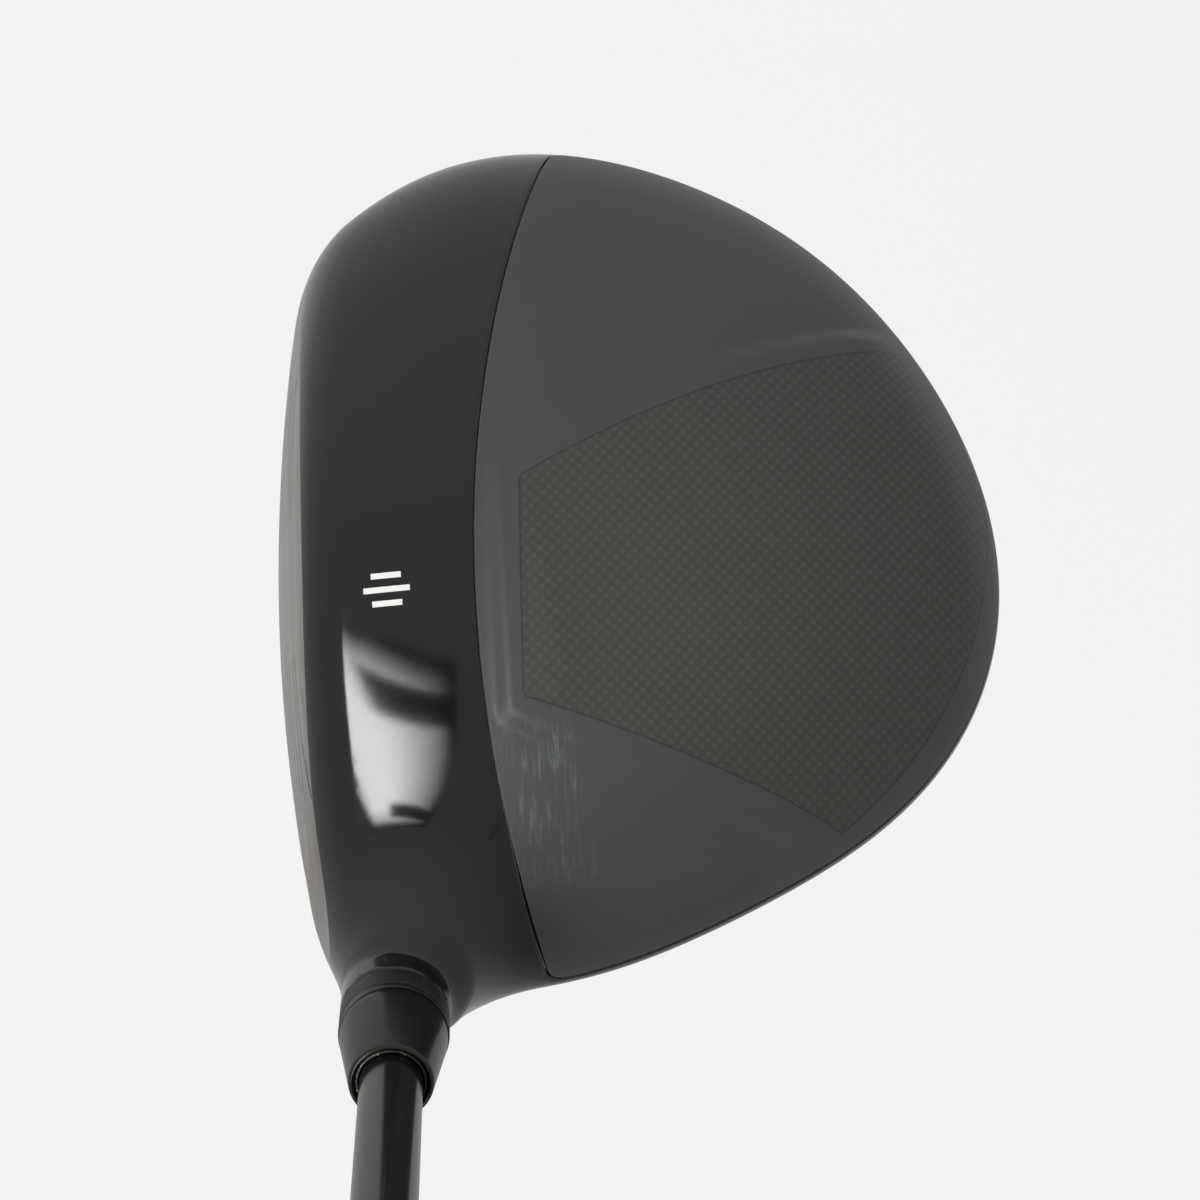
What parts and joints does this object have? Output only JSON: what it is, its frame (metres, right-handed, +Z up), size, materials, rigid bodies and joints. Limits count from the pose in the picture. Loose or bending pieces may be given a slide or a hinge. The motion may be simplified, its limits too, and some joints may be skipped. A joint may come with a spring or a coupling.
{
  "type": "golf driver",
  "caption": "Right-handed golf driver with a rounded hollow head, carbon crown, adjustable hosel, screw-in sole weights, tapered shaft and rubber grip.",
  "frame": {"origin": "centre of the sole's flat resting pad, on the ground", "axes": "+Z up, +X from the face to the tail of the head, +Y from heel to toe; the shaft leans towards -Y at the lie angle"},
  "size_m": [0.1123, 0.7079, 0.9969],
  "materials": {
    "painted_titanium": "gloss",
    "brushed_titanium": "satin",
    "matte_carbon": "satin",
    "machined_titanium": "satin",
    "port_aluminium": "satin",
    "screw_steel": "satin",
    "weight_steel": "satin",
    "seal_rubber": "matte",
    "hot_melt": "satin",
    "anodised_aluminium": "satin",
    "ferrule_plastic": "satin",
    "epoxy": "satin",
    "shaft_carbon": "gloss",
    "plug_brass": "satin",
    "grip_tape": "matte",
    "grip_rubber": "matte"
  },
  "bodies": {
    "shaft": {"shaft": "shaft_carbon", "shaft_sleeve": "anodised_aluminium", "ferrule": "ferrule_plastic", "ferrule_epoxy": "epoxy", "shaft_tip_plug": "plug_brass", "grip_tape": "grip_tape", "grip": "grip_rubber", "grip_cap": "grip_rubber"},
    "loft_ring": {"loft_ring": "anodised_aluminium"},
    "head": {"head_body": "painted_titanium", "face_plate": "brushed_titanium", "crown_panel": "matte_carbon", "toe_sole_panel": "matte_carbon", "heel_sole_panel": "matte_carbon", "hosel_tube": "machined_titanium", "screw_washer": "screw_steel", "front_toe_weight_port": "port_aluminium", "front_heel_weight_port": "port_aluminium", "rear_weight_port": "port_aluminium", "front_sound_rib": "machined_titanium", "rear_sound_rib": "machined_titanium", "damping_pad": "hot_melt"},
    "hosel_screw": {"hosel_screw": "screw_steel"},
    "front_toe_o_ring": {"front_toe_o_ring": "seal_rubber"},
    "front_toe_weight": {"front_toe_weight": "weight_steel"},
    "front_heel_o_ring": {"front_heel_o_ring": "seal_rubber"},
    "front_heel_weight": {"front_heel_weight": "weight_steel"},
    "rear_o_ring": {"rear_o_ring": "seal_rubber"},
    "rear_weight": {"rear_weight": "weight_steel"}
  },
  "joints": [
    {"name": "head_release", "type": "slide", "parent": "shaft", "child": "loft_ring", "axis": [0, 0.515, -0.8572], "range_m": [0, 0.045]},
    {"name": "loft_index", "type": "hinge", "parent": "loft_ring", "child": "head", "pos_m": [-0.0288, -0.07338, 0.05572], "axis": [0, -0.515, 0.8572], "continuous": true},
    {"name": "hosel_screw_turn", "type": "hinge", "parent": "head", "child": "hosel_screw", "pos_m": [-0.0288, -0.05587, 0.02657], "axis": [0, 0.515, -0.8572], "range_deg": [0, 3600]},
    {"name": "front_toe_weight_travel", "type": "slide", "parent": "head", "child": "front_toe_o_ring", "axis": [-0.1788, 0.1938, -0.9646], "range_m": [0, 0.0072]},
    {"name": "front_toe_weight_turn", "type": "hinge", "parent": "front_toe_o_ring", "child": "front_toe_weight", "pos_m": [-0.02, 0.022, 0.0031], "axis": [-0.1788, 0.1938, -0.9646], "range_deg": [0, 3240]},
    {"name": "front_heel_weight_travel", "type": "slide", "parent": "head", "child": "front_heel_o_ring", "axis": [-0.1088, -0.0817, -0.9907], "range_m": [0, 0.0072]},
    {"name": "front_heel_weight_turn", "type": "hinge", "parent": "front_heel_o_ring", "child": "front_heel_weight", "pos_m": [-0.02, -0.012, 0.00102], "axis": [-0.1088, -0.0817, -0.9907], "range_deg": [0, 3240]},
    {"name": "rear_weight_travel", "type": "slide", "parent": "head", "child": "rear_o_ring", "axis": [0.4121, -0.0204, -0.9109], "range_m": [0, 0.0072]},
    {"name": "rear_weight_turn", "type": "hinge", "parent": "rear_o_ring", "child": "rear_weight", "pos_m": [0.046, -0.008, 0.00783], "axis": [0.4121, -0.0204, -0.9109], "range_deg": [0, 3240]}
  ],
  "couplings": [
    {"joint": "front_toe_weight_turn", "follows": "front_toe_weight_travel", "rad_per_m": 7854},
    {"joint": "front_heel_weight_turn", "follows": "front_heel_weight_travel", "rad_per_m": 7854},
    {"joint": "rear_weight_turn", "follows": "rear_weight_travel", "rad_per_m": 7854}
  ]
}
